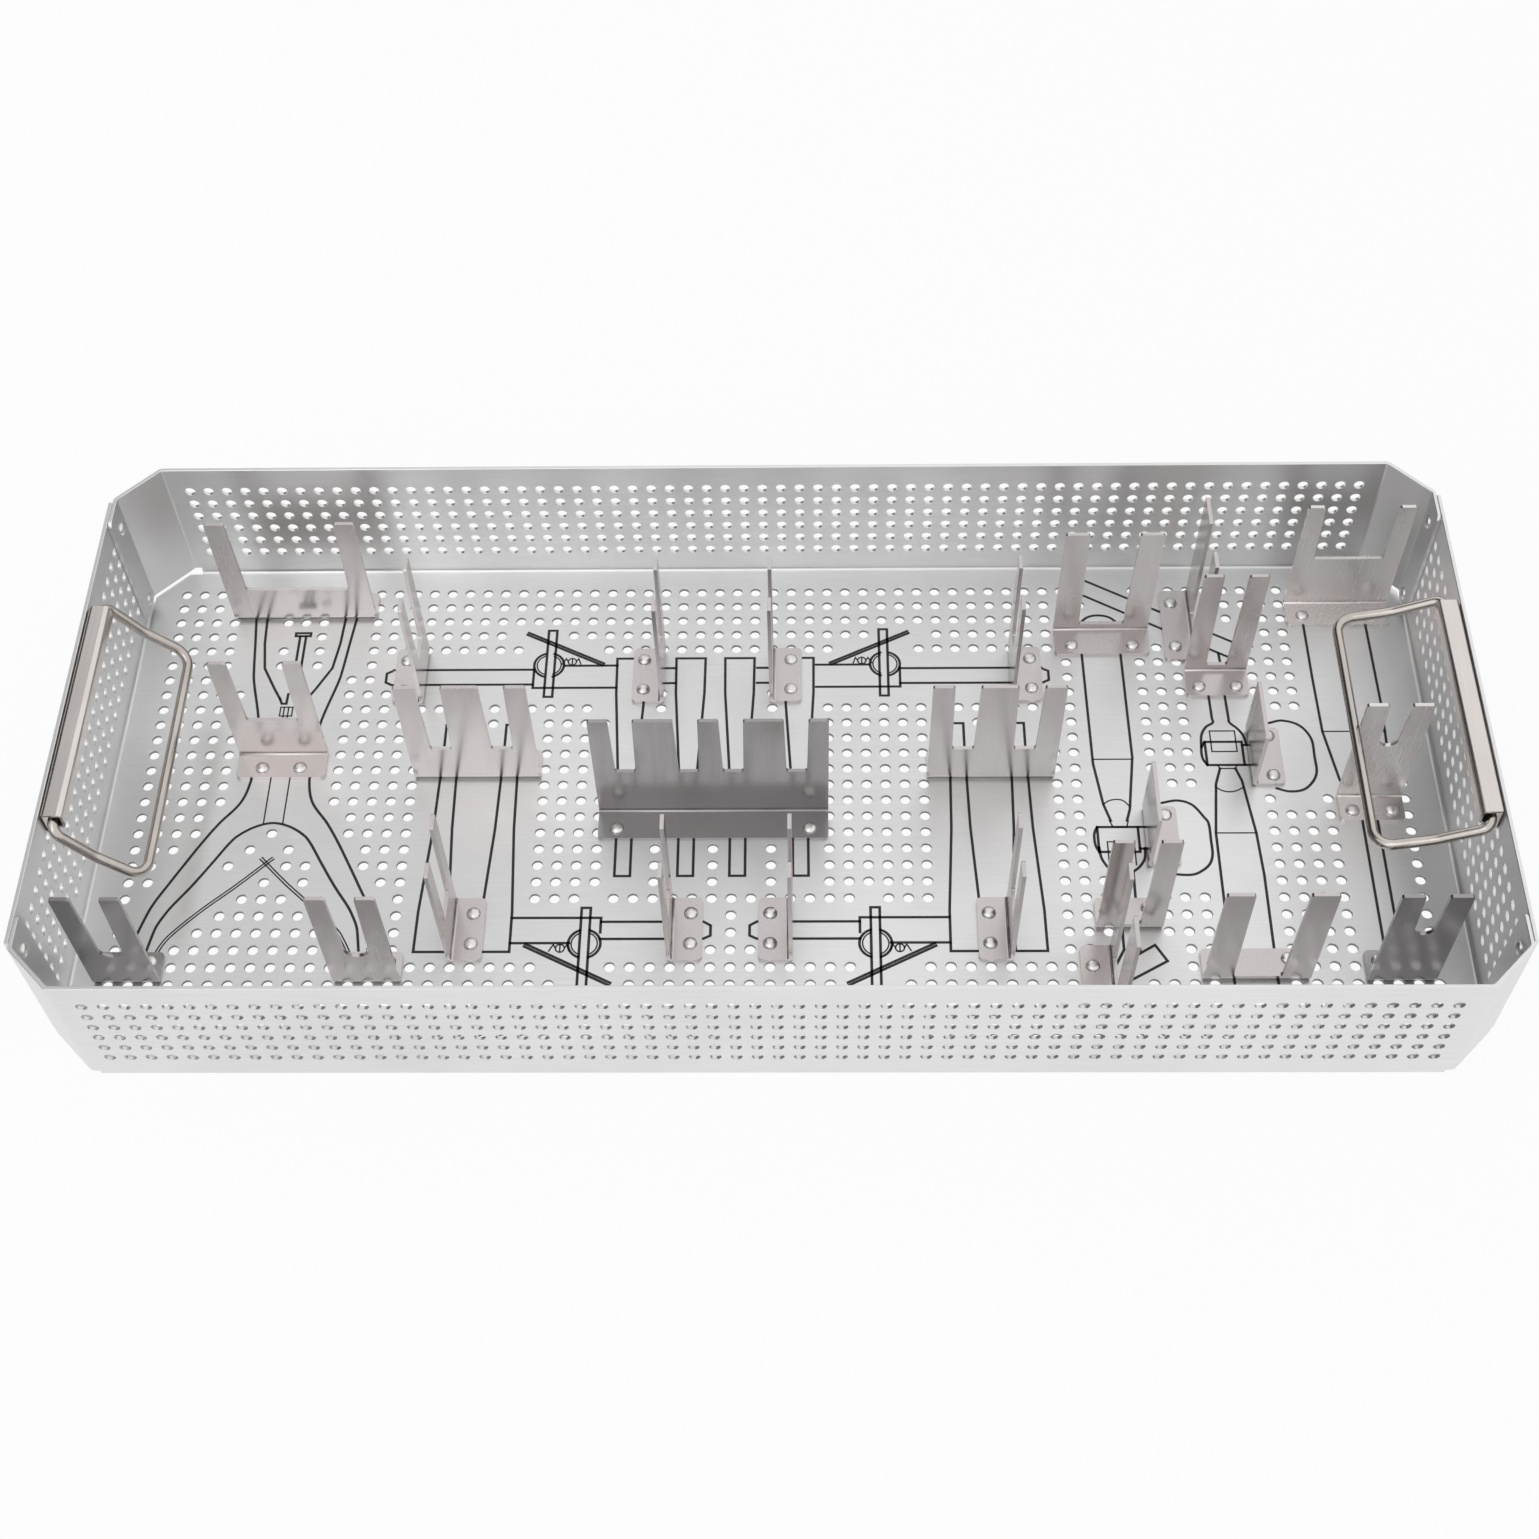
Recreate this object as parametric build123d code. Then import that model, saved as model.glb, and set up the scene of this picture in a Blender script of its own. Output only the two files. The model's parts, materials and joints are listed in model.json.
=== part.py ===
"""Perforated instrument tray with riveted holding brackets and two folding wire bails.

Millimetres, +Z up, X along the tray, Y away from its front wall.
The origin is the middle of the underside of the floor.
"""
import os
from dataclasses import dataclass
from math import cos, radians

from build123d import *

# Tray body: one folded blank of sheet
SHEET = 1.5
INNER_LENGTH = 532.0
INNER_WIDTH = 239.2
WALL_HEIGHT = 64.0
BEND_RADIUS = 1.5
LAP_GAP = 0.1
LAP_LENGTH = 14.0
LAP_CORNER_RADIUS = 3.0
LONG_WALL_SETBACK = 17.0
END_WALL_SETBACK = 17.0
CORNER_EDGE_LIFT = 2.5
FLOOR_CORNER_REACH = 1.3
RELIEF_NOTCH = 2.5

# Hole raster of the perforated sheet, which also places the rivets of the brackets
PITCH = 7.62
RASTER_END_MARGIN = 14.54
RASTER_SIDE_MARGIN = 12.92

# Brackets: folded from one gauge of strip, all to one height
BRACKET_SHEET = 1.5
BRACKET_BEND = 1.0
BRACKET_HEIGHT = 61.0
TAB_HEIGHT = 33.0
FOOT_DEPTH = 11.7
DEEP_FOOT = 13.2
FOOT_CORNER_RADIUS = 2.0
TIP_CHAMFER = 0.6
SLOT_CORNER_CHAMFER = 0.6
SLOT_FLARE = 1.4

# Rivets: button heads seated on the sheet, drawn with few sides because there are sixty
HEAD_DIAMETER = 5.5
HEAD_HEIGHT = 1.5
HEAD_SIDES = 12
HEAD_TAPER = 40
RIVET_TO_FOOT_EDGE = 4.5
CORNER_RIVET_INSET = 5.6
CORNER_RIVET_HEIGHTS = (7.0, 52.5)

# Bails: one bent wire each, its ends meeting inside the retainer
WIRE_DIAMETER = 4.0
WIRE_SIDES = 16
BAIL_SPAN = 106.0
BAIL_REACH = 41.7
BAIL_CRANK = 2.0
HINGE_BEND = 4.5
CRANK_BEND = 24.0
GRIP_BEND = 7.0
WIRE_END_GAP = 0.5
LEFT_BAIL_ANGLE = 50.0
RIGHT_BAIL_ANGLE = 17.5

# Retainers: folded channel, spot-welded to the end wall, open below
RETAINER_SHEET = 1.0
RETAINER_LENGTH = 98.0
RETAINER_CAVITY = 6.5
RETAINER_BACK = 14.0
RETAINER_BEND = 1.0
RETAINER_CORNER_RADIUS = 2.0
WIRE_CLEARANCE = 0.3
WIRE_BELOW_RIM = 4.5
LIP_LENGTH = 3.4

# Sizes worked out from the ones above
HALF_LENGTH = INNER_LENGTH / 2
HALF_WIDTH = INNER_WIDTH / 2
FLOOR_TOP = SHEET
RIM = FLOOR_TOP + WALL_HEIGHT
FOLD_HALF = HALF_LENGTH - LONG_WALL_SETBACK
LAP_FACE = HALF_LENGTH - LAP_GAP - SHEET
LAP_START = HALF_WIDTH - (LAP_FACE - FOLD_HALF)
LAP_END = LAP_START - LAP_LENGTH
END_WALL_HALF = HALF_WIDTH - END_WALL_SETBACK
CORNER_EDGE = FLOOR_TOP + CORNER_EDGE_LIFT
BEND_END = FOLD_HALF - RELIEF_NOTCH
BEND_TOP = FLOOR_TOP + BEND_RADIUS
HINGE_X = HALF_LENGTH - RETAINER_SHEET - RETAINER_CAVITY / 2
HINGE_Z = RIM - WIRE_BELOW_RIM


def from_left(columns):
    """X of a column of the hole raster, counted from the left end."""
    return -HALF_LENGTH + RASTER_END_MARGIN + columns * PITCH


def from_right(columns):
    """X of a column of the hole raster, counted from the right end."""
    return -from_left(columns)


def from_back(rows):
    """Y of a row of the hole raster, counted from the back wall."""
    return HALF_WIDTH - RASTER_SIDE_MARGIN - rows * PITCH


def from_front(rows):
    """Y of a row of the hole raster, counted from the front wall."""
    return -from_back(rows)


def middle(steps):
    """X or Y of a column or row of the hole raster, counted from the middle."""
    return steps * PITCH


@dataclass
class Slot:
    """Open-topped slot of a bracket, flaring towards its mouth."""

    centre: float
    width: float
    bottom: float
    round_end: bool = False


@dataclass
class Bracket:
    """Sheet angle: an upright plate with its foot folded to one side.

    x and y are the middle of its two rivets, and foot is the side that the foot points to.
    """

    name: str
    x: float
    y: float
    foot: str
    width: float
    slots: tuple
    rivet_spacing: float
    foot_depth: float = FOOT_DEPTH
    height: float = BRACKET_HEIGHT

    @property
    def setback(self):
        """Distance from the plate's inner face to the line of the rivets."""
        return self.foot_depth - RIVET_TO_FOOT_EDGE


# Plate widths and slots of the bracket families
NARROW = 25.4
SIDE = 27.5
COMB = 50.8
RACK = 91.0
WIDE_BACK = 60.4
WIDE_MIDDLE = 36.0
NEAR_BACK = 39.4
MIDDLE_FRONT = 40.2
FAR_BACK = 43.2
HEAVY_BACK = 36.7
HEAVY_FRONT = 35.0
SIDE_SLOT = (Slot(0, 12.6, 19.0),)
JAW_SLOT = (Slot(0, 9.3, 20.5, True),)
TIP_SLOT = (Slot(0, 7.3, 35.0, True),)
NEAR_SLOT = (Slot(0, 18.6, 4.5),)
MIDDLE_SLOT = (Slot(0, 8.5, 4.6),)
WIDE_SLOT = (Slot(0, 18.3, 3.7),)
HEAVY_SLOT = (Slot(-2.9, 13.0, 5.0),)
FRONT_SLOT = (Slot(2.7, 13.6, 5.0),)
COMB_SLOTS = (Slot(-12.1, 8.5, 21.0), Slot(12.1, 8.5, 21.0))
RACK_SLOTS = tuple(Slot(centre, 7.9, 28.0) for centre in (-33.2, -8.6, 8.6, 33.2))
PAIR = 2 * PITCH

# Lanes: X where the long instruments lie; the far one's edge is the right bail's stop
WIDE_LANE = from_left(7)
NEAR_LANE = from_right(15)
MIDDLE_LANE = from_right(9)
GRIP_X = HINGE_X - BAIL_REACH * cos(radians(RIGHT_BAIL_ANGLE))
FAR_LANE = GRIP_X + WIRE_DIAMETER / 2 + WIRE_CLEARANCE + NARROW / 2

BRACKETS = (
    Bracket("fork_wide_back", WIDE_LANE, from_back(0.7), "back", WIDE_BACK, (Slot(0, 43.0, 20.0),), 6 * PITCH),
    Bracket("fork_wide_middle", WIDE_LANE, middle(2), "front", WIDE_MIDDLE, (Slot(0, 20.5, 24.0),), PAIR),
    Bracket("fork_jaw_left", from_left(1), from_front(4.2), "back", NARROW, JAW_SLOT, PAIR),
    Bracket("fork_jaw_right", from_left(13), from_front(4.2), "back", NARROW, JAW_SLOT, PAIR),
    Bracket("side_fork_back_1", middle(-20), from_back(5.9), "left", SIDE, SIDE_SLOT, PAIR),
    Bracket("side_fork_back_2", middle(-7), from_back(5.9), "left", SIDE, SIDE_SLOT, PAIR),
    Bracket("side_fork_back_3", middle(1), from_back(5.9), "right", SIDE, SIDE_SLOT, PAIR),
    Bracket("side_fork_back_4", middle(14), from_back(5.9), "right", SIDE, SIDE_SLOT, PAIR),
    Bracket("side_fork_front_1", middle(-15), from_front(6.1), "right", SIDE, SIDE_SLOT, 13.4),
    Bracket("side_fork_front_2", middle(-4), from_front(6.1), "right", SIDE, SIDE_SLOT, 13.4),
    Bracket("side_fork_front_3", middle(0), from_front(6.1), "left", SIDE, SIDE_SLOT, 13.4),
    Bracket("side_fork_front_4", middle(11), from_front(6.1), "left", SIDE, SIDE_SLOT, 13.4),
    Bracket("comb_left", middle(-15.5), middle(2.5), "back", COMB, COMB_SLOTS, 4 * PITCH),
    Bracket("comb_right", middle(11.5), middle(2.4), "back", COMB, COMB_SLOTS, 4 * PITCH),
    Bracket("rack_middle", middle(-3), middle(-1.9), "front", RACK, RACK_SLOTS, 10 * PITCH, DEEP_FOOT),
    Bracket("fork_near_back", NEAR_LANE, from_back(4), "front", NEAR_BACK, NEAR_SLOT, 25.4, DEEP_FOOT),
    Bracket("fork_near_front", NEAR_LANE, from_front(7.25), "back", NARROW, (Slot(0, 8.0, 4.0),), PAIR),
    Bracket("side_fork_heavy_back", from_right(11), from_back(2.6), "left", HEAVY_BACK, HEAVY_SLOT, 23.0),
    Bracket("side_fork_heavy_front", from_right(17), from_front(2.8), "left", HEAVY_FRONT, FRONT_SLOT, 16.7),
    Bracket("stop_tab_back", from_right(6.7), middle(2.6), "right", SIDE, (), 19.2, height=TAB_HEIGHT),
    Bracket("stop_tab_front", from_right(12.6), middle(-2.4), "right", SIDE, (), 19.2, height=TAB_HEIGHT),
    Bracket("fork_middle_back", MIDDLE_LANE, from_back(6.85), "front", NARROW, MIDDLE_SLOT, PAIR, DEEP_FOOT),
    Bracket("fork_middle_front", MIDDLE_LANE, from_front(4.3), "back", MIDDLE_FRONT, WIDE_SLOT, 25.4),
    Bracket("fork_far_back", FAR_LANE, from_back(2), "front", FAR_BACK, (Slot(0, 28.4, 29.4),), 29.6),
    Bracket("fork_far_middle", FAR_LANE, middle(-0.9), "front", NARROW, TIP_SLOT, PAIR),
    Bracket("fork_far_front", FAR_LANE, from_front(4.2), "back", NARROW, TIP_SLOT, PAIR),
)

FOOT_TURNS = {"back": 0, "left": 90, "front": 180, "right": 270}


def write(node, shape):
    """Write one sub-part as a STEP file."""
    export_step(shape, f"parts/{node}.step")


def slab(sketch, low, high):
    """A plan-view sketch as a solid between two heights."""
    return extrude(Pos(0, 0, low) * sketch, amount=high - low, dir=(0, 0, 1))


# Tray body

def bend_strip(length):
    """Quarter-round fold along X, its wall face towards +Y at Y=0 and its floor edge inside that."""
    outer = BEND_RADIUS + SHEET
    ring = Circle(outer) - Circle(BEND_RADIUS)
    quarter = ring & Pos(outer / 2, -outer / 2) * Rectangle(outer, outer)
    return extrude(Plane.YZ * Pos(-BEND_RADIUS, BEND_TOP) * quarter, amount=length / 2, both=True)


def floor_plate():
    """Flat floor with its four corners cut back at 45 degrees."""
    edge_x = HALF_LENGTH - BEND_RADIUS
    edge_y = HALF_WIDTH - BEND_RADIUS
    cut = FOLD_HALF + HALF_WIDTH + FLOOR_CORNER_REACH
    right = [(edge_x, cut - edge_x), (cut - edge_y, edge_y)]
    left = [(-x, y) for x, y in reversed(right)]
    outline = right + left + [(-x, -y) for x, y in right] + [(x, -y) for x, y in reversed(right)]
    return slab(make_face(Polyline(*outline, close=True)), 0, FLOOR_TOP)


def long_side():
    """Back wall and its fold to the floor."""
    wall = Pos(0, HALF_WIDTH + SHEET / 2, (BEND_TOP + RIM) / 2) * Box(2 * BEND_END, SHEET, RIM - BEND_TOP)
    return [wall, Pos(0, HALF_WIDTH, 0) * bend_strip(2 * BEND_END)]


def end_side():
    """Right end wall, riveted over the lap flanges, and its fold to the floor."""
    wall = Pos(HALF_LENGTH + SHEET / 2, 0, (BEND_TOP + RIM) / 2) * Box(SHEET, 2 * END_WALL_HALF, RIM - BEND_TOP)
    return [wall, Pos(HALF_LENGTH, 0, 0) * Rot(0, 0, -90) * bend_strip(2 * END_WALL_HALF)]


def corner():
    """Back right corner: the end of the back wall folds to the corner panel and on to its lap flange."""
    inner = [
        (LAP_FACE, LAP_END),
        (LAP_FACE, LAP_START),
        (FOLD_HALF, HALF_WIDTH),
        (BEND_END, HALF_WIDTH),
    ]
    path = FilletPolyline(*inner, radius=BEND_RADIUS)
    strip = make_face(offset(path, amount=SHEET, side=Side.RIGHT))
    return slab(strip, CORNER_EDGE, RIM) - lap_corner_waste()


def lap_corner_waste():
    """What rounding takes off the free corners of the lap flange."""
    reach = 2 * (LAP_START - LAP_END)
    flat = Pos(LAP_END + reach / 2, (CORNER_EDGE + RIM) / 2) * Rectangle(reach, RIM - CORNER_EDGE)
    eased = fillet(flat.vertices().group_by(Axis.X)[0], LAP_CORNER_RADIUS)
    waste = extrude(Plane.YZ * (flat - eased), amount=2 * SHEET, both=True)
    return Pos(LAP_FACE, 0, 0) * waste


def tray_body():
    """One folded blank, kept as flats and folds that meet face to face, so that each collides as thin sheet."""
    back_right = corner()
    corners = [back_right, mirror(back_right, about=Plane.XZ)]
    long_walls = long_side()
    long_walls += [mirror(flat, about=Plane.XZ) for flat in long_walls]
    ends = end_side() + corners
    ends += [mirror(flat, about=Plane.YZ) for flat in ends]
    return Compound([floor_plate()] + long_walls + ends)


# Brackets

def bracket_frame(bracket):
    """Frame at the plate's inner face on the floor: Y towards the foot's edge, Z up."""
    at_rivets = Pos(bracket.x, bracket.y, FLOOR_TOP) * Rot(0, 0, FOOT_TURNS[bracket.foot])
    return at_rivets * Pos(0, -bracket.setback, 0)


def slot_sketch(slot, top):
    """Slot outline in the plate, running out past its top edge."""
    mouth = slot.width + SLOT_FLARE
    low = slot.bottom + slot.width / 2 if slot.round_end else slot.bottom
    points = [
        (slot.centre - slot.width / 2, low),
        (slot.centre + slot.width / 2, low),
        (slot.centre + mouth / 2, top),
        (slot.centre - mouth / 2, top),
    ]
    outline = make_face(Polyline(*points, close=True))
    if slot.round_end:
        return outline + Pos(slot.centre, low) * Circle(slot.width / 2)
    return chamfer(outline.vertices().group_by(Axis.Y)[0], SLOT_CORNER_CHAMFER)


def plate_outline(bracket):
    """Front view of the bracket: width, height, slots and eased tips."""
    outline = Pos(0, bracket.height / 2) * Rectangle(bracket.width, bracket.height)
    for slot in bracket.slots:
        outline -= slot_sketch(slot, bracket.height)
    return chamfer(outline.vertices().group_by(Axis.Y)[-1], TIP_CHAMFER)


def bracket_solid(bracket):
    """One bracket in its own frame, plate behind Y=0 and foot in front of it."""
    depth = bracket.foot_depth
    overall = depth + BRACKET_SHEET
    corners = [
        (-BRACKET_SHEET, 0),
        (depth, 0),
        (depth, BRACKET_SHEET),
        (0, BRACKET_SHEET),
        (0, bracket.height),
        (-BRACKET_SHEET, bracket.height),
    ]
    angle = make_face(Polyline(*corners, close=True))
    heel = angle.vertices().sort_by_distance((-BRACKET_SHEET, 0))[0]
    angle = fillet(heel, BRACKET_BEND + BRACKET_SHEET)
    crook = angle.vertices().sort_by_distance((0, BRACKET_SHEET))[0]
    angle = fillet(crook, BRACKET_BEND)
    blank = extrude(Plane.YZ * angle, amount=bracket.width / 2, both=True)
    front = extrude(Plane.XZ * plate_outline(bracket), amount=overall, both=True)
    plan = Pos(0, depth - overall / 2) * Rectangle(bracket.width, overall)
    plan = fillet(plan.vertices().group_by(Axis.Y)[-1], FOOT_CORNER_RADIUS)
    return blank & front & slab(plan, 0, bracket.height)


# Rivets

def rivet_head():
    """Button head with its flat underside at Z=0."""
    return extrude(RegularPolygon(HEAD_DIAMETER / 2, HEAD_SIDES), amount=HEAD_HEIGHT, taper=HEAD_TAPER)


def bracket_rivets():
    """The two heads on each bracket's foot."""
    model = rivet_head()
    heads = []
    for bracket in BRACKETS:
        for side in (-0.5, 0.5):
            at_foot = Pos(side * bracket.rivet_spacing, bracket.setback, BRACKET_SHEET)
            heads.append(bracket_frame(bracket) * at_foot * model)
    return Compound(heads)


def corner_rivets():
    """The heads that hold the lap flanges to the end walls, seen inside the tray."""
    model = rivet_head()
    y = LAP_START - CORNER_RIVET_INSET
    heads = []
    for height in CORNER_RIVET_HEIGHTS:
        right = Pos(LAP_FACE, y, FLOOR_TOP + height) * Rot(0, -90, 0) * model
        pair = [right, mirror(right, about=Plane.XZ)]
        heads += pair + [mirror(head, about=Plane.YZ) for head in pair]
    return Compound(heads)


# Retainers and bails, modelled at the right end with the wall towards +X

def retainer():
    """Folded channel over the bail's wire, its lip turned in under the wire."""
    wall = HALF_LENGTH
    front = wall - RETAINER_CAVITY - 2 * RETAINER_SHEET
    lip = HINGE_Z - WIRE_DIAMETER / 2 - WIRE_CLEARANCE - RETAINER_SHEET
    outer = [
        (wall, RIM - RETAINER_BACK),
        (wall, RIM),
        (front, RIM),
        (front, lip),
        (front + LIP_LENGTH, lip),
    ]
    path = FilletPolyline(*outer, radius=RETAINER_BEND + RETAINER_SHEET)
    strip = make_face(offset(path, amount=RETAINER_SHEET, side=Side.RIGHT))
    channel = extrude(Plane.XZ * strip, amount=RETAINER_LENGTH / 2, both=True)
    width = wall - front
    plan = Pos(wall - width / 2, 0) * Rectangle(width, RETAINER_LENGTH)
    plan = fillet(plan.vertices().group_by(Axis.X)[-1], RETAINER_CORNER_RADIUS)
    return channel & slab(plan, 0, RIM)


def bail(droop):
    """Bent wire loop hanging inwards from its hinge line, its ends meeting on that line."""
    half = BAIL_SPAN / 2
    mid = BAIL_REACH / 2
    loop = [
        (0, WIRE_END_GAP / 2, 0),
        (0, half, 0),
        (-mid, half, -BAIL_CRANK),
        (-BAIL_REACH, half, 0),
        (-BAIL_REACH, -half, 0),
        (-mid, -half, -BAIL_CRANK),
        (0, -half, 0),
        (0, -WIRE_END_GAP / 2, 0),
    ]
    bends = [HINGE_BEND, CRANK_BEND, GRIP_BEND, GRIP_BEND, CRANK_BEND, HINGE_BEND]
    path = FilletPolyline(*loop, radius=bends)
    section = Plane(origin=path @ 0, z_dir=path % 0) * RegularPolygon(WIRE_DIAMETER / 2, WIRE_SIDES)
    wire = sweep(section, path=path)
    return Pos(HINGE_X, 0, HINGE_Z) * Rot(0, -droop, 0) * wire


def main():
    os.makedirs("parts", exist_ok=True)
    write("tray_body", tray_body())
    for bracket in BRACKETS:
        write(bracket.name, bracket_frame(bracket) * bracket_solid(bracket))
    write("bracket_rivets", bracket_rivets())
    write("corner_rivets", corner_rivets())
    right_retainer = retainer()
    write("right_retainer", right_retainer)
    write("left_retainer", mirror(right_retainer, about=Plane.YZ))
    write("right_bail", bail(RIGHT_BAIL_ANGLE))
    write("left_bail", mirror(bail(LEFT_BAIL_ANGLE), about=Plane.YZ))


main()
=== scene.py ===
"""Looks of the perforated instrument tray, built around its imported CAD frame.

Millimetres are used for the shapes here and turned into metres as each vertex is made.
The frame is the CAD's: X along the tray, Y away from its front wall, Z up, the floor's underside at 0.
"""
import json
from math import cos, degrees, hypot, pi, radians, sin, sqrt, tan

import bmesh
import bpy
from mathutils import Matrix, Vector


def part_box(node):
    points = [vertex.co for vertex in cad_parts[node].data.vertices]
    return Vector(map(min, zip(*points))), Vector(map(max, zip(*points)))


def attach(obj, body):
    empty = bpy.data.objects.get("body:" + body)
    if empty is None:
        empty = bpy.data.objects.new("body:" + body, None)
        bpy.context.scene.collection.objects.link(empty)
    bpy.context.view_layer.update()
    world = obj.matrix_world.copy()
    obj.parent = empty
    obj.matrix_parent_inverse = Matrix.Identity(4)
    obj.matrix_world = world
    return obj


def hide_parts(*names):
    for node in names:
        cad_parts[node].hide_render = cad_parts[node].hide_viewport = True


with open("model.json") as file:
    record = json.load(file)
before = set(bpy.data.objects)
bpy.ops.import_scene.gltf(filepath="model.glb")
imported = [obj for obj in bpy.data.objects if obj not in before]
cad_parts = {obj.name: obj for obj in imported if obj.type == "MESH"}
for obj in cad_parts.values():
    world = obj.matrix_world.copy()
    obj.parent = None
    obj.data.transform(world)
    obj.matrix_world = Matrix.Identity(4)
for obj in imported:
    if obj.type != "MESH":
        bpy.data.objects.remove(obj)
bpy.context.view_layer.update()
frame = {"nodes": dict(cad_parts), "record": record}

# A millimetre and the distance that closes split edges, both in metres
MM = 0.001
WELD_DISTANCE = 1e-6
# How far a length may be off and still count as the same, in millimetres
TOUCH = 0.01
# Edges that turn by more than this many degrees are shaded sharp
FLAT_SMOOTH = 35
ROUND_SMOOTH = 50

# Tray sheet, as in part.py
SHEET = 1.5
BEND_RADIUS = 1.5
FLOOR_TOP = 1.5
RIM = 65.5
EDGE_X = 264.5
EDGE_Y = 118.1
FLOOR_CUT = 369.9
FLOOR_CORNER_X = FLOOR_CUT - EDGE_Y
FLOOR_CORNER_Y = FLOOR_CUT - EDGE_X
LONG_WALL_HALF = 246.5
END_WALL_HALF = 102.6
CORNER_EDGE = 4.0
CORNER_PATH = ((246.5, 119.6), (249.0, 119.6), (264.4, 104.2), (264.4, 90.2))
LAP_ROUND = 3.0
LAP_INSETS = (3.0, 2.0, 1.2, 0.6, 0.2, 0.0)
FOLD_STEPS = 8
EASE = 0.2

# Hole raster; the floor's columns and rows are counted from the middle one
PITCH = 7.62
HOLE_RADIUS = 2.12
HOLE_SIDES = 16
TO_FIRST_CORNER = -0.75 * pi
HOLE_EASE = 0.12
FLOOR_COLUMNS = 33
FLOOR_ROWS = 14
LONG_COLUMNS = 64
END_COLUMNS = 24
WALL_ROWS = 6
LONG_FIRST_ROW = 14.7
END_FIRST_ROW = 13.6
LINE_MARGIN = 4.8

# Rivets
HEAD_RADIUS = 2.75
HEAD_HEIGHT = 1.5
HEAD_SEGMENTS = 28

# Bails, as in part.py
WIRE_RADIUS = 2.0
WIRE_SEGMENTS = 28
WIRE_BEND_STEPS = 10
HINGE_X = 261.75
HINGE_Z = 61.0
BAIL_LOOP = ((0, 0.25, 0), (0, 53, 0), (-20.85, 53, -2), (-41.7, 53, 0),
             (-41.7, -53, 0), (-20.85, -53, -2), (0, -53, 0), (0, -0.25, 0))
BAIL_BENDS = (4.5, 24.0, 7.0, 7.0, 24.0, 4.5)
BAIL_ANGLES = {"left_bail": 50.0, "right_bail": 17.5}

# Printed outlines
INK_TOP = FLOOR_TOP + 0.04
MAIN_LINE = 1.1
THIN_LINE = 0.6
TWIN_GAP = 0.55
CURVE_STEPS = 8
ARC_STEPS = 24
SHORTEST_RUN = 0.02
CLOSING_GAP = 0.05
LEAST_MITRE = 0.45

# Carried-over CAD nodes
PLATE_EASE = 0.15
EASED_ANGLE = 40

# Materials
NOISE_LOW, NOISE_HIGH = 0.3, 0.7
GRAIN_SHARE = 0.35
BUMP_DISTANCE = 0.00005
SHEEN_SPREAD = 0.05
ROLLED = (60, 1400, 1400)
UPRIGHT = (1100, 1100, 30)
LENGTHWISE = (1100, 40, 1100)
WIRE_DRAWN = (300, 60, 300)
HEADED = (900, 900, 900)
SHEARED = (1400, 1400, 200)
PRINT_GRAIN = (700, 700, 700)


# ---------------------------------------------------------------- materials

def socket_mix(tree, factor, a, b):
    """Colour between a and b by a factor output."""
    node = tree.nodes.new("ShaderNodeMix")
    node.data_type = "RGBA"
    node.inputs["A"].default_value = (*a, 1)
    node.inputs["B"].default_value = (*b, 1)
    tree.links.new(factor, node.inputs["Factor"])
    return node.outputs["Result"]


def math_node(tree, operation, *values):
    """Output of a Math node on numbers or other outputs."""
    node = tree.nodes.new("ShaderNodeMath")
    node.operation = operation
    for socket, value in zip(node.inputs, values):
        if isinstance(value, (int, float)):
            socket.default_value = value
        else:
            tree.links.new(value, socket)
    return node.outputs[0]


def noise(tree, coordinates, scale, detail, distortion=0.0):
    """Noise stretched by scale, in cells per metre."""
    mapping = tree.nodes.new("ShaderNodeMapping")
    mapping.inputs["Scale"].default_value = scale
    tree.links.new(coordinates, mapping.inputs["Vector"])
    node = tree.nodes.new("ShaderNodeTexNoise")
    node.inputs["Scale"].default_value = 1.0
    node.inputs["Detail"].default_value = detail
    node.inputs["Distortion"].default_value = distortion
    tree.links.new(mapping.outputs["Vector"], node.inputs["Vector"])
    return node.outputs["Fac"]


def ranged(tree, value, low, high):
    """A noise's middle range spread between two values."""
    node = tree.nodes.new("ShaderNodeMapRange")
    node.inputs["From Min"].default_value = NOISE_LOW
    node.inputs["From Max"].default_value = NOISE_HIGH
    node.inputs["To Min"].default_value = low
    node.inputs["To Max"].default_value = high
    tree.links.new(value, node.inputs["Value"])
    return node.outputs["Result"]


def metal(name, dark, light, roughness, grain, grain_depth, blotch=9.0):
    """Metal with a drawn grain, uneven sheen and faint handling marks.

    The grain is given in cells per metre along X, Y and Z, and the marks in blotch cells per metre.
    """
    material = bpy.data.materials.new(name)
    material.use_nodes = True
    tree = material.node_tree
    shader = tree.nodes["Principled BSDF"]
    shader.inputs["Metallic"].default_value = 1.0
    where = tree.nodes.new("ShaderNodeTexCoord").outputs["Object"]
    lines = noise(tree, where, grain, 2.0)
    marks = noise(tree, where, (blotch,) * 3, 4.0, distortion=0.6)
    faded = math_node(tree, "MULTIPLY", marks, 1 - GRAIN_SHARE)
    mixed = math_node(tree, "MULTIPLY_ADD", lines, GRAIN_SHARE, faded)
    tone = ranged(tree, mixed, 0.0, 1.0)
    tree.links.new(socket_mix(tree, tone, dark, light), shader.inputs["Base Color"])
    sheen = ranged(tree, mixed, roughness + SHEEN_SPREAD, roughness - SHEEN_SPREAD)
    tree.links.new(sheen, shader.inputs["Roughness"])
    bump = tree.nodes.new("ShaderNodeBump")
    bump.inputs["Strength"].default_value = grain_depth
    bump.inputs["Distance"].default_value = BUMP_DISTANCE
    tree.links.new(lines, bump.inputs["Height"])
    tree.links.new(bump.outputs["Normal"], shader.inputs["Normal"])
    return material


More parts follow.
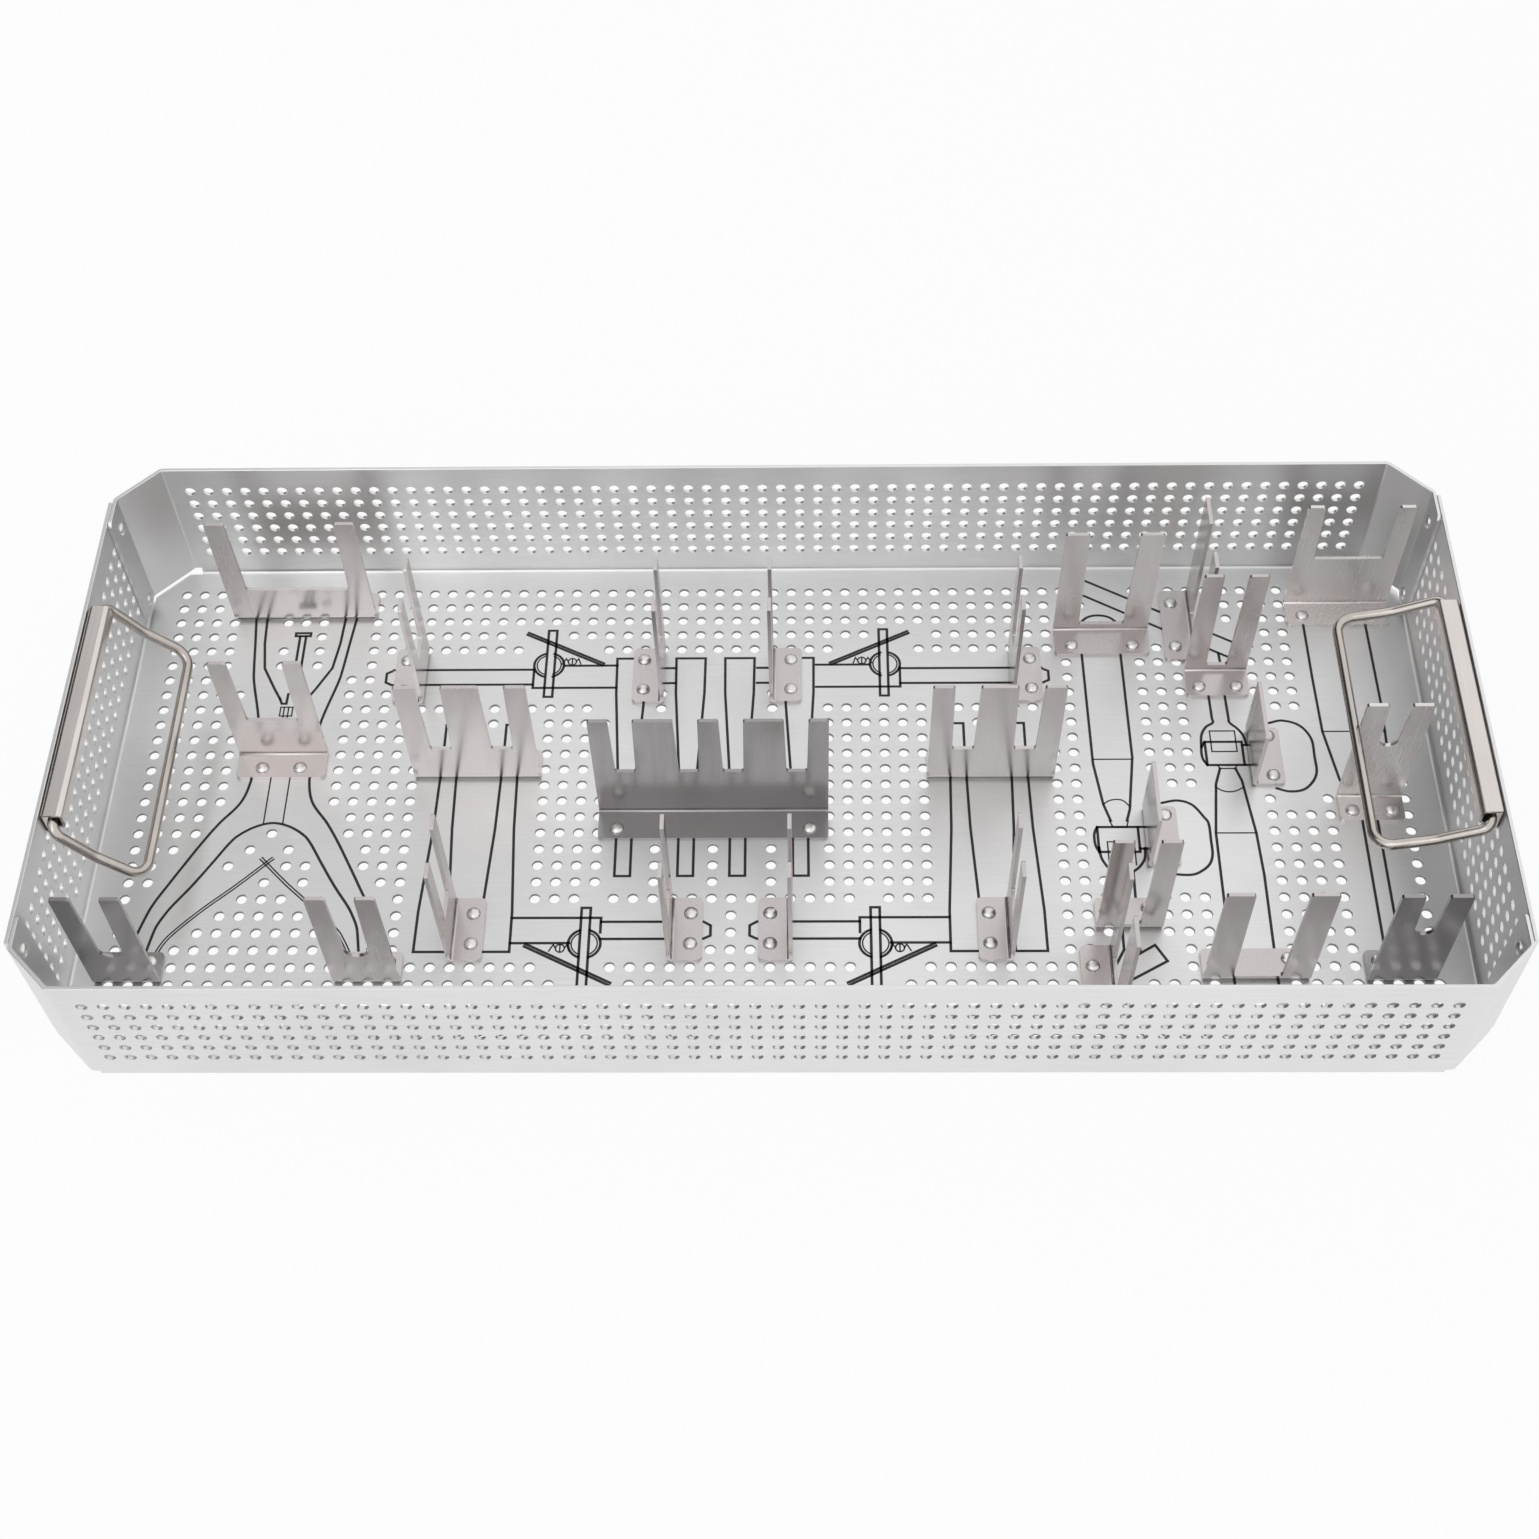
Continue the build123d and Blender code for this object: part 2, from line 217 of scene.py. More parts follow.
def printed_ink():
    """Dark matt ink, a little worn."""
    material = bpy.data.materials.new("placement_ink")
    material.use_nodes = True
    tree = material.node_tree
    shader = tree.nodes["Principled BSDF"]
    where = tree.nodes.new("ShaderNodeTexCoord").outputs["Object"]
    wear = ranged(tree, noise(tree, where, PRINT_GRAIN, 3.0), 0.0, 1.0)
    tone = socket_mix(tree, wear, (0.006, 0.006, 0.007), (0.02, 0.019, 0.021))
    tree.links.new(tone, shader.inputs["Base Color"])
    tree.links.new(ranged(tree, wear, 0.42, 0.6), shader.inputs["Roughness"])
    return material


SATIN = metal("satin_aluminium", (0.73, 0.73, 0.73), (0.81, 0.81, 0.81), 0.39, ROLLED, 0.03)
# Dark grey for the floor holes' walls: painted shade, standing in for the shadow under the tray
HOLE_WALL_SHADE = metal("hole_wall_painted_shade", (0.17, 0.17, 0.17), (0.23, 0.23, 0.23), 0.42, SHEARED, 0.04)
PLATE = metal("bracket_steel", (0.55, 0.515, 0.51), (0.61, 0.58, 0.57), 0.24, UPRIGHT, 0.03, 22.0)
# Darker and paler copies of the bracket steel: a painted reflection of dark and bright surroundings
PLATE_DARK_REFLECTION = metal("bracket_steel_painted_dark_reflection", (0.33, 0.32, 0.32), (0.38, 0.365, 0.37), 0.22, UPRIGHT, 0.04, 22.0)
PLATE_BRIGHT_REFLECTION = metal("bracket_steel_painted_bright_reflection", (0.7, 0.67, 0.66), (0.78, 0.75, 0.74), 0.26, UPRIGHT, 0.03, 22.0)
FOLDED = metal("folded_steel", (0.67, 0.63, 0.605), (0.75, 0.71, 0.685), 0.24, LENGTHWISE, 0.03, 22.0)
DRAWN = metal("steel_wire", (0.5, 0.46, 0.425), (0.61, 0.57, 0.535), 0.2, WIRE_DRAWN, 0.1, 40.0)
RIVET = metal("bright_rivet", (0.74, 0.73, 0.72), (0.87, 0.86, 0.85), 0.3, HEADED, 0.15, 120.0)
INK = printed_ink()


# ---------------------------------------------------------------- mesh helpers

def as_object(name, bm, material, smooth_angle=None):
    """A mesh object from a bmesh in millimetres."""
    bmesh.ops.recalc_face_normals(bm, faces=bm.faces)
    bmesh.ops.scale(bm, vec=(MM, MM, MM), verts=bm.verts)
    if smooth_angle is not None:
        for face in bm.faces:
            face.smooth = True
        limit = radians(smooth_angle)
        for edge in bm.edges:
            if len(edge.link_faces) == 2 and edge.calc_face_angle(0) > limit:
                edge.smooth = False
    mesh = bpy.data.meshes.new(name)
    bm.to_mesh(mesh)
    bm.free()
    mesh.materials.append(material)
    piece = bpy.data.objects.new(name, mesh)
    bpy.context.scene.collection.objects.link(piece)
    return piece


def joined(bm, ring_a, ring_b, material_number=0):
    """Quads between two rings of vertices, material_number being their material's number on the piece."""
    count = len(ring_a)
    for k in range(count):
        n = (k + 1) % count
        face = bm.faces.new((ring_a[k], ring_a[n], ring_b[n], ring_b[k]))
        face.material_index = material_number


def lofted(bm, rings):
    """Closed skin over a row of rings, with both ends capped."""
    for a, b in zip(rings, rings[1:]):
        joined(bm, a, b)
    bm.faces.new(rings[0])
    bm.faces.new(rings[-1][::-1])


def punched_cell(bm, corners, centre, place, material_number):
    """One raster cell of both faces of the sheet with its eased hole."""
    rings = []
    mouth = HOLE_RADIUS + HOLE_EASE
    for radius, depth in ((mouth, 0), (HOLE_RADIUS, HOLE_EASE), (HOLE_RADIUS, SHEET - HOLE_EASE), (mouth, SHEET)):
        ring = []
        for k in range(HOLE_SIDES):
            angle = 2 * pi * k / HOLE_SIDES + TO_FIRST_CORNER
            point = place(centre[0] + radius * cos(angle), centre[1] + radius * sin(angle), depth)
            ring.append(bm.verts.new(point))
        rings.append(ring)
    step = HOLE_SIDES // 4
    for side in (0, 1):
        ring = rings[0] if side == 0 else rings[-1]
        for k in range(4):
            quarter = [ring[(k * step + m) % HOLE_SIDES] for m in range(step + 1)]
            bm.faces.new([corners[k][side], corners[(k + 1) % 4][side]] + quarter[::-1])
    joined(bm, rings[0], rings[1])
    # The hole's straight wall takes the painted shade material when the sheet has one
    joined(bm, rings[1], rings[2], material_number)
    joined(bm, rings[2], rings[3])


def perforated_sheet(name, us, vs, place, has_hole, hole_shade_material=None):
    """Closed sheet over a grid of cells, with a hole in each cell that has one; the holes' walls take
    hole_shade_material, a painted shade, when it is given.
    """
    bm = bmesh.new()
    material_number = 1 if hole_shade_material else 0
    grid = [[(bm.verts.new(place(u, v, 0)), bm.verts.new(place(u, v, SHEET))) for v in vs] for u in us]
    for i in range(len(us) - 1):
        for j in range(len(vs) - 1):
            corners = (grid[i][j], grid[i + 1][j], grid[i + 1][j + 1], grid[i][j + 1])
            centre = ((us[i] + us[i + 1]) / 2, (vs[j] + vs[j + 1]) / 2)
            square = all(abs(size - PITCH) < TOUCH for size in (us[i + 1] - us[i], vs[j + 1] - vs[j]))
            if square and has_hole(*centre):
                punched_cell(bm, corners, centre, place, material_number)
            else:
                for side in (0, 1):
                    bm.faces.new([c[side] for c in corners])
    around = [grid[i][0] for i in range(len(us))]
    around += [grid[-1][j] for j in range(1, len(vs))]
    around += [grid[i][-1] for i in range(len(us) - 2, -1, -1)]
    around += [grid[0][j] for j in range(len(vs) - 2, 0, -1)]
    joined(bm, [a for a, _ in around], [b for _, b in around])
    piece = as_object(name, bm, SATIN, FLAT_SMOOTH)
    if hole_shade_material:
        piece.data.materials.append(hole_shade_material)
    return piece


def steps(first, count):
    """Cell edges of a row of cells."""
    return [first + k * PITCH for k in range(count + 1)]


# ---------------------------------------------------------------- printed outlines (floor millimetres)

def flipped(points, about):
    """Points mirrored left to right."""
    return [(2 * about - x, y) for x, y in points]


def curved(points):
    """A smooth line through the points."""
    padded = [points[0]] + list(points) + [points[-1]]
    line = []
    for k in range(1, len(padded) - 2):
        p0, p1, p2, p3 = [Vector(p) for p in padded[k - 1:k + 3]]
        for m in range(CURVE_STEPS):
            t = m / CURVE_STEPS
            a = 2 * p1
            b = (p2 - p0) * t
            c = (2 * p0 - 5 * p1 + 4 * p2 - p3) * t * t
            d = (3 * p1 - p0 - 3 * p2 + p3) * t ** 3
            line.append(tuple(0.5 * (a + b + c + d)))
    return line + [tuple(points[-1])]


def arc(centre, radius, start, end):
    """Part of a circle, in degrees."""
    turn = [radians(start + (end - start) * k / ARC_STEPS) for k in range(ARC_STEPS + 1)]
    return [(centre[0] + radius * cos(a), centre[1] + radius * sin(a)) for a in turn]


def loop(*points):
    """A closed line."""
    return list(points) + [points[0]]


def beside(points, gap):
    """The same line moved sideways by a gap."""
    moved = []
    for k, (x, y) in enumerate(points):
        a, b = points[max(k - 1, 0)], points[min(k + 1, len(points) - 1)]
        across, up = b[0] - a[0], b[1] - a[1]
        length = hypot(across, up)
        moved.append((x - up / length * gap, y + across / length * gap))
    return moved


# Main and thin lines are printed; no hole is punched near a main or spring line or inside a silhouette
main_lines = []
thin_lines = []
silhouettes = []

# Spreading instrument at the left, alike on both sides of its lane
WIDE_LANE = -198.2
outer = [(21.4, 93), (20, 80), (18.7, 67), (17.5, 59), (13, 40), (11.7, 25), (11.7, 11.3), (14.3, -0.3),
         (21.6, -10.6), (27.2, -20), (32.5, -30), (36.9, -38.5), (42.2, -49.4), (45.8, -62)]
arch = [(0, -10.4), (6.5, -12), (12.5, -15.8), (16.1, -20), (22, -30), (28.1, -40), (34, -48.6),
        (36.5, -53), (38.8, -58.2), (40, -64), (41, -70.3)]
throat = [(16.7, 93), (16, 80), (14.2, 67), (8.5, 56), (5.6, 51)]
for side in (-1, 1):
    main_lines.append(curved([(WIDE_LANE + side * x, y) for x, y in outer]))
    main_lines.append([(WIDE_LANE + side * x, y) for x, y in throat])
arm = [(WIDE_LANE - x, y) for x, y in arch[:0:-1]] + [(WIDE_LANE + x, y) for x, y in arch]
main_lines.append(curved(arm))
body = [(WIDE_LANE - x, y) for x, y in outer] + arm + [(WIDE_LANE + x, y) for x, y in outer[::-1]]
body += [(WIDE_LANE + x, y) for x, y in throat] + [(WIDE_LANE - x, y) for x, y in throat[::-1]]
silhouettes.append(body)
main_lines.append([(-203.8, 51), (-202.8, 48.6), (-200.9, 48.6), (-200.7, 53.5)])
main_lines.append(loop((-201.6, 84), (-195.3, 84), (-195.3, 85.6), (-201.6, 85.6)))
for x in (-199.7, -197.2):
    main_lines.append([(x, 84), (x, 66)])
thin_lines.append([(-202.1, 11), (-202.1, -10.4)])
thin_lines.append([(-194.4, 11), (-194.4, -10.4)])
thin_lines.append(loop((-202.9, 42.3), (-197.9, 42.3), (-197.9, 46.8), (-202.9, 46.8)))
for x in (-201.4, -199.6):
    thin_lines.append([(x, 41), (x, 46.8)])
springs = [
    [(-196, -27), (-209, -40), (-220.3, -50.5), (-229.7, -60.6), (-233.6, -66.4), (-236.8, -74.8)],
    [(-200.7, -27), (-190, -38), (-181, -46.4), (-167.8, -59), (-164.2, -64), (-161, -70)],
]
spring_lines = []
for spring in springs:
    line = curved(spring)
    spring_lines.append(line)
    thin_lines += [beside(line, TWIN_GAP), beside(line, -TWIN_GAP)]


# Distance from the wide end and width of a tapering leg of the two pairs
LEG_LENGTH = 106.9
LEG_WIDTHS = ((0, 12.2), (18, 11.8), (32, 10.2), (56, 7.5), (90, 6.1), (LEG_LENGTH, 6.1))


def leg(wide_x, narrow_x, wide_y, way):
    """Outline of one tapering leg, which runs from its wide end towards the back (way 1) or the front (-1)."""
    left, right = [], []
    for along, width in LEG_WIDTHS:
        x = wide_x + (narrow_x - wide_x) * along / LEG_LENGTH
        y = wide_y + way * along
        left.append((x - width / 2, y))
        right.append((x + width / 2, y))
    return loop(*(left + right[::-1]))


BAR_HALF_WIDTH = 1.75
LEVER_GAP = 0.6
RING_RADII = {6.2: main_lines, 5.0: thin_lines}
BAR_CLEARANCE = 1.9
SCREW_RADIUS = 1.7


def clamp(bar_x, bar_low, bar_high, circle, lever, screw, about):
    """Clamp of a pair's bar with its lever and screw, and the same mirrored."""
    left, right = bar_x - BAR_HALF_WIDTH, bar_x + BAR_HALF_WIDTH
    bar = loop((left, bar_low), (right, bar_low), (right, bar_high), (left, bar_high))
    parts = [(bar, main_lines), (beside(lever, LEVER_GAP), main_lines), (beside(lever, -LEVER_GAP), main_lines)]
    for radius, lines in RING_RADII.items():
        gap = degrees(BAR_CLEARANCE / radius)
        parts.append((arc(circle, radius, 90 + gap, 270 - gap), lines))
        parts.append((arc(circle, radius, -90 + gap, 90 - gap), lines))
    x, y = screw
    parts.append((arc(screw, SCREW_RADIUS, 0, 360), thin_lines))
    parts.append(([(x, y - SCREW_RADIUS), (x, y + SCREW_RADIUS)], thin_lines))
    parts.append(([(x - 4.2, y - 1.2), (x - 2.6, y + 1.6), (x - SCREW_RADIUS, y)], thin_lines))
    parts.append(([(x + SCREW_RADIUS, y), (x + 2.6, y + 1.6), (x + 3.6, y - 1.2)], thin_lines))
    for points, lines in parts:
        lines += [points, flipped(points, about)]


def both(points, about):
    """A main line and its mirror image."""
    main_lines.append(points)
    main_lines.append(flipped(points, about))


BACK_MIDDLE = -23.3
for wide_x, narrow_x in ((-58.8, -58.0), (-34.1, -33.4), (-13.7, -13.1), (10.9, 11.7)):
    outline = leg(wide_x, narrow_x, 71.3, -1)
    main_lines.append(outline)
    silhouettes.append(outline)
both([(-158.8, 65), (-160.8, 64), (-160.8, 59.3), (-158.8, 58.3)], BACK_MIDDLE)
both([(-158, 65.7), (-99.4, 65.7)], BACK_MIDDLE)
both([(-158, 58), (-99.4, 58)], BACK_MIDDLE)
both([(-99.4, 66), (-99.4, 56.2), (-64.7, 56.2)], BACK_MIDDLE)
both([(-87, 67.7), (-64.7, 67.7)], BACK_MIDDLE)
both([(-52.9, 66.2), (-40.2, 66.2)], BACK_MIDDLE)
both([(-52.9, 58.4), (-40.2, 58.4)], BACK_MIDDLE)
clamp(-92.75, 51.6, 86.3, (-93.3, 68), ((-103.2, 84.7), (-70.7, 68.3)), (-83.7, 69.8), BACK_MIDDLE)

FRONT_MIDDLE = -15.4
for leg_x in (-130.3, -105.7, 99.5, 74.9):
    outline = leg(leg_x, leg_x, -69.5, 1)
    main_lines.append(outline)
    silhouettes.append(outline)
between_legs = [(-127, 36), (-109, 36), (-109, -54.5), (-127, -54.5)]
silhouettes += [between_legs, flipped(between_legs, FRONT_MIDDLE)]
both([(-99.5, -54.5), (-65.2, -54.5), (-65.2, -61)], FRONT_MIDDLE)
both([(-99.5, -65.7), (-77, -65.7)], FRONT_MIDDLE)
both([(-65.2, -56.3), (-25.7, -56.3), (-22.9, -58), (-22.9, -62.5), (-25.7, -63.9), (-65.2, -63.9)],
     FRONT_MIDDLE)
clamp(-71.15, -85, -50, (-71.1, -66), ((-93.8, -66.6), (-60.6, -83.6)), (-80.3, -68), FRONT_MIDDLE)

# Shafted instrument of the near lane
near_left = [(128.7, 89), (128.7, 72), (129.2, 17), (131.8, -2.6), (134.1, -10.4)]
near_right = [(144.8, 89), (144.8, 72), (145.2, 20), (142.1, -5), (140.5, -10.4)]
main_lines.append(near_left)
main_lines.append(near_right)
main_lines.append(curved([(129.1, 89), (132.4, 92.2), (136.9, 93.2), (141.5, 92.2), (144.8, 89)]))
silhouettes.append([(128.7, 93)] + near_left + near_right[::-1] + [(144.8, 93)])
thin_lines.append([(129.2, 19.2), (145.2, 19.2)])
thin_lines.append(curved([(131.8, -2.6), (134.2, -0.9), (137, -0.3), (139.8, -0.9), (142.1, -3.6)]))
thin_lines.append([(133.6, -10.4), (134.8, -13.4), (140.2, -13.4), (141, -10.4)])
main_lines.append(loop((128.5, -13.4), (144.5, -13.4), (144.5, -25), (128.5, -25)))
main_lines.append([(144.5, -13.4), (152.6, -13.4)])
main_lines.append([(144.5, -23.5), (152.6, -23.5)])
thin_lines.append([(132, -34), (132, -20.3), (142.5, -20.3), (142.5, -31)])
main_lines.append(curved([(128.5, -13.4), (127.2, -16.5), (127.2, -21.5), (128.5, -25)]))
main_lines.append(curved([(128.6, -23), (129.2, -28), (131.6, -32.6), (133.4, -34.5)]))
main_lines.append(curved([(146.5, -23.3), (146, -28), (143.9, -31.6), (141.5, -33.8)]))
main_lines.append([(141, -34), (140.8, -47)])
ring = [(152.6, -2.6), (155.1, -2), (161.4, -0.9), (166.9, -3), (170.9, -8.7), (172.5, -12), (172.6, -19.6),
        (172.5, -26.3), (170.9, -30.8), (167.4, -34), (163.5, -35.6), (157.6, -35.4), (154, -34.6)]
main_lines.append(curved(ring))
silhouettes.append([(144.5, -4)] + ring + [(144.5, -33)])
main_lines.append([(140.4, -60), (140.5, -70.6), (146.4, -67), (150.5, -74), (135.3, -82.7)])
main_lines.append([(134.5, -47), (134.5, -69), (130.5, -76.5)])
silhouettes.append([(134.5, -47), (134.5, -69), (130.5, -76.5), (135.3, -82.7), (150.5, -74), (146.4, -67),
                    (140.5, -70.6), (140.8, -47)])

# Its slanting shaft
main_lines.append([(133, 112), (191.7, 78.8)])
main_lines.append([(131.8, 103.9), (185.4, 73)])
main_lines.append([(189.9, 70.5), (185.4, 73), (185.7, 66.5)])
silhouettes.append([(133, 112), (191.7, 78.8), (185.4, 73), (131.8, 103.9)])

# Shafted instrument of the middle lane
neck_left = [(179, 52), (179.2, 40), (179.3, 37.2), (176.3, 35), (174.1, 31), (173.4, 25)]
neck_right = [(185.6, 52), (185.9, 40), (186.1, 37.2), (188.8, 34.3), (190.9, 30.7), (191.7, 26)]
main_lines.append(curved(neck_left))
main_lines.append(curved(neck_right))
silhouettes.append(neck_left + neck_right[::-1])
thin_lines.append(loop((177.5, 22.8), (187.6, 22.8), (187.6, 33), (177.5, 33)))
main_lines.append(loop((175, 16.2), (189.9, 16.2), (189.9, 27.6), (175, 27.6)))
main_lines.append([(189.9, 26), (198, 26)])
main_lines.append([(189.9, 16.2), (198, 16.2)])
main_lines.append(curved([(175, 27.6), (173.4, 24.5), (173.4, 19.5), (175, 16.2)]))
shank_left = [(179.8, 14.5), (177.4, 7), (174.9, -16.3), (174.7, -48), (174.7, -88)]
shank_right = [(186, 14.5), (187.9, 8.5), (190.7, -16.3), (191.5, -36), (191.1, -88)]
main_lines.append(shank_left)
main_lines.append(shank_right)
silhouettes.append(shank_left + shank_right[::-1])
thin_lines.append([(174.9, -16.3), (190.7, -16.3)])
thin_lines.append(curved([(177, 5.6), (179.4, 3.9), (182.5, 3.2), (185.6, 3.9), (188.4, 5.6)]))
thin_lines.append([(179, 16.2), (179.8, 14.5), (186, 14.5), (186.8, 16.2)])
ring = [(199.5, 36.3), (202.4, 37), (207.6, 38.1), (214.2, 35.6), (218.1, 29), (218.3, 20), (218.2, 13),
        (216.2, 8.2), (212, 4.2), (206.3, 3.3), (201.3, 4.8)]
main_lines.append(curved(ring))
silhouettes.append([(189.9, 34)] + ring + [(189.9, 8)])

# Tapered instrument of the far lane
far_left = [(222.5, 87), (222.6, 60), (223.1, 32.6), (226.8, 8.7), (233, -5), (233, -70)]
far_right = [(248.4, 87), (248.8, 47), (248.1, 27), (239, -5), (239, -70)]
main_lines.append(far_left)
main_lines.append(far_right)
silhouettes.append(far_left + far_right[::-1])
thin_lines.append([(223.1, 32.6), (248.4, 32.6)])


def near_line(x, y, line, reach):
    """Whether a point is within reach of a line."""
    for (ax, ay), (bx, by) in zip(line, line[1:]):
        dx, dy = bx - ax, by - ay
        length = dx * dx + dy * dy
        t = 0 if length == 0 else max(0, min(1, ((x - ax) * dx + (y - ay) * dy) / length))
        if hypot(ax + t * dx - x, ay + t * dy - y) < reach:
            return True
    return False


def inside(x, y, outline):
    """Whether a point is inside a closed outline."""
    within = False
    for (ax, ay), (bx, by) in zip(outline, outline[1:] + outline[:1]):
        if (ay > y) != (by > y) and x < ax + (y - ay) / (by - ay) * (bx - ax):
            within = not within
    return within


def ribbon(bm, line, width):
    """Closed flat ribbon of ink along a line, mitred at its corners."""
    points = [line[0]]
    for point in line[1:]:
        if hypot(point[0] - points[-1][0], point[1] - points[-1][1]) > SHORTEST_RUN:
            points.append(point)
    closed = hypot(points[0][0] - points[-1][0], points[0][1] - points[-1][1]) < CLOSING_GAP
    if closed:
        points = points[:-1]
    count = len(points)
    rows = []
    for k, (x, y) in enumerate(points):
        before = points[k - 1] if k or closed else None
        after = points[(k + 1) % count] if k < count - 1 or closed else None
        ways = []
        for a, b in ((before, (x, y)), ((x, y), after)):
            if a and b:
                ways.append(Vector((b[0] - a[0], b[1] - a[1])).normalized())
        normal = Vector((0, 0))
        for way in ways:
            normal += Vector((-way.y, way.x))
        normal = normal.normalized() if normal.length > 1e-6 else Vector((-ways[0].y, ways[0].x))
        stretch = 1 / max(LEAST_MITRE, normal.dot(Vector((-ways[0].y, ways[0].x))))
        push = 0 if closed or 0 < k < count - 1 else width / 2
        shift = ways[0] * (-push if k == 0 else push)
        row = []
        for side, z in ((1, INK_TOP), (1, FLOOR_TOP), (-1, FLOOR_TOP), (-1, INK_TOP)):
            offset = normal * (side * width / 2 * stretch)
            row.append(bm.verts.new((x + shift.x + offset.x, y + shift.y + offset.y, z)))
        rows.append(row)
    for k in range(count if closed else count - 1):
        joined(bm, rows[k], rows[(k + 1) % count])
    if not closed:
        bm.faces.new(rows[0])
        bm.faces.new(rows[-1][::-1])


bm = bmesh.new()
for line in main_lines:
    ribbon(bm, line, MAIN_LINE)
for line in thin_lines:
    ribbon(bm, line, THIN_LINE)
outlines = as_object("placement_outlines", bm, INK)
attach(outlines, "tray")


# ---------------------------------------------------------------- tray sheets

brackets = [part["node"] for part in frame["record"]["subparts"] if part["material_slot"] == "bracket_steel"]
feet = []
for node in brackets:
    low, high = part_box(node)
    feet.append((low.x / MM, low.y / MM, high.x / MM, high.y / MM))
far_shaft = [(240, -5), (240, -70)]
avoided = main_lines + spring_lines + [far_shaft]


def floor_hole(x, y):
    """Whether the floor has a hole there."""
    for x0, y0, x1, y1 in feet:
        if x0 + HOLE_RADIUS < x < x1 - HOLE_RADIUS and y0 + HOLE_RADIUS < y < y1 - HOLE_RADIUS:
            return False
    if any(near_line(x, y, line, LINE_MARGIN) for line in avoided):
        return False
    return not any(inside(x, y, outline) for outline in silhouettes)


def floor_place(x, y, depth):
    """Point of the flat floor, its corners pulled in to the 45 degree cut."""
    at_end, at_side = abs(x) > EDGE_X - TOUCH, abs(y) > EDGE_Y - TOUCH
    if at_end and at_side:
        half = (EDGE_X - FLOOR_CORNER_X) / 2
        x = (EDGE_X - half) * (1 if x > 0 else -1)
        y = (EDGE_Y - half) * (1 if y > 0 else -1)
    elif at_end and abs(y) > FLOOR_CORNER_Y:
        y = FLOOR_CORNER_Y * (1 if y > 0 else -1)
    elif at_side and abs(x) > FLOOR_CORNER_X:
        x = FLOOR_CORNER_X * (1 if x > 0 else -1)
    return x, y, FLOOR_TOP - depth


def wall_profile(v, depth, edge):
    """Distance out and height of a wall's section.

    The last unit of v below the wall's flat part runs round the fold, and above it v is the height.
    """
    if v >= RIM - TOUCH:
        depth = EASE + depth * (SHEET - 2 * EASE) / SHEET
    radius = BEND_RADIUS + depth
    if v < FLOOR_TOP + BEND_RADIUS:
        angle = (v - FLOOR_TOP - BEND_RADIUS + 1) * pi / 2
        return edge + radius * sin(angle), FLOOR_TOP + BEND_RADIUS - radius * cos(angle)
    return edge + radius, v


def long_place(side):
    """Point of the back wall at side 1, or of the front wall at side -1."""
    def place(u, v, depth):
        out, height = wall_profile(v, depth, EDGE_Y)
        return u, side * out, height
    return place


def end_place(side):
    """Point of the right wall at side 1, or of the left wall at side -1."""
    def place(u, v, depth):
        out, height = wall_profile(v, depth, EDGE_X)
        return side * out, u, height
    return place


def wall_levels(first_row):
    """Heights of a wall's rows of cells, its fold first."""
    fold = [FLOOR_TOP + BEND_RADIUS - 1 + k / FOLD_STEPS for k in range(FOLD_STEPS)]
    rows = steps(first_row - PITCH / 2, WALL_ROWS)
    return fold + [FLOOR_TOP + BEND_RADIUS] + rows + [RIM - EASE, RIM]


def wall_hole(u, v):
    """A wall has a hole in every cell."""
    return True


tray_pieces = []
columns = steps(-(FLOOR_COLUMNS + 0.5) * PITCH, 2 * FLOOR_COLUMNS + 1)
rows = steps(-(FLOOR_ROWS + 0.5) * PITCH, 2 * FLOOR_ROWS + 1)
# The floor's holes get walls painted dark as shade
tray_pieces.append(perforated_sheet("floor_sheet", [-EDGE_X] + columns + [EDGE_X],
                                    [-EDGE_Y] + rows + [EDGE_Y], floor_place, floor_hole, HOLE_WALL_SHADE))
long_columns = [-LONG_WALL_HALF] + steps(-LONG_COLUMNS / 2 * PITCH, LONG_COLUMNS) + [LONG_WALL_HALF]
end_columns = [-END_WALL_HALF] + steps(-END_COLUMNS / 2 * PITCH, END_COLUMNS) + [END_WALL_HALF]
for name, side in (("back_wall", 1), ("front_wall", -1)):
    tray_pieces.append(perforated_sheet(name, long_columns, wall_levels(LONG_FIRST_ROW),
                                        long_place(side), wall_hole))
for name, side in (("right_wall", 1), ("left_wall", -1)):
    tray_pieces.append(perforated_sheet(name, end_columns, wall_levels(END_FIRST_ROW),
                                        end_place(side), wall_hole))


def filleted(points, radii, count):
    """A path of straight runs with an arc of count steps at each inner corner."""
    path = [Vector(points[0])]
    for k, radius in enumerate(radii, start=1):
        corner = Vector(points[k])
        back = (Vector(points[k - 1]) - corner).normalized()
        on = (Vector(points[k + 1]) - corner).normalized()
        half = back.angle(on) / 2
        centre = corner + (back + on).normalized() * (radius / sin(half))
        setback = radius / tan(half)
        a, b = corner + back * setback - centre, corner + on * setback - centre
        sweep = a.angle(b)
        for m in range(count + 1):
            t = m / count
            arm = a * (sin((1 - t) * sweep) / sin(sweep)) + b * (sin(t * sweep) / sin(sweep))
            path.append(centre + arm)
    path.append(Vector(points[-1]))
    return path


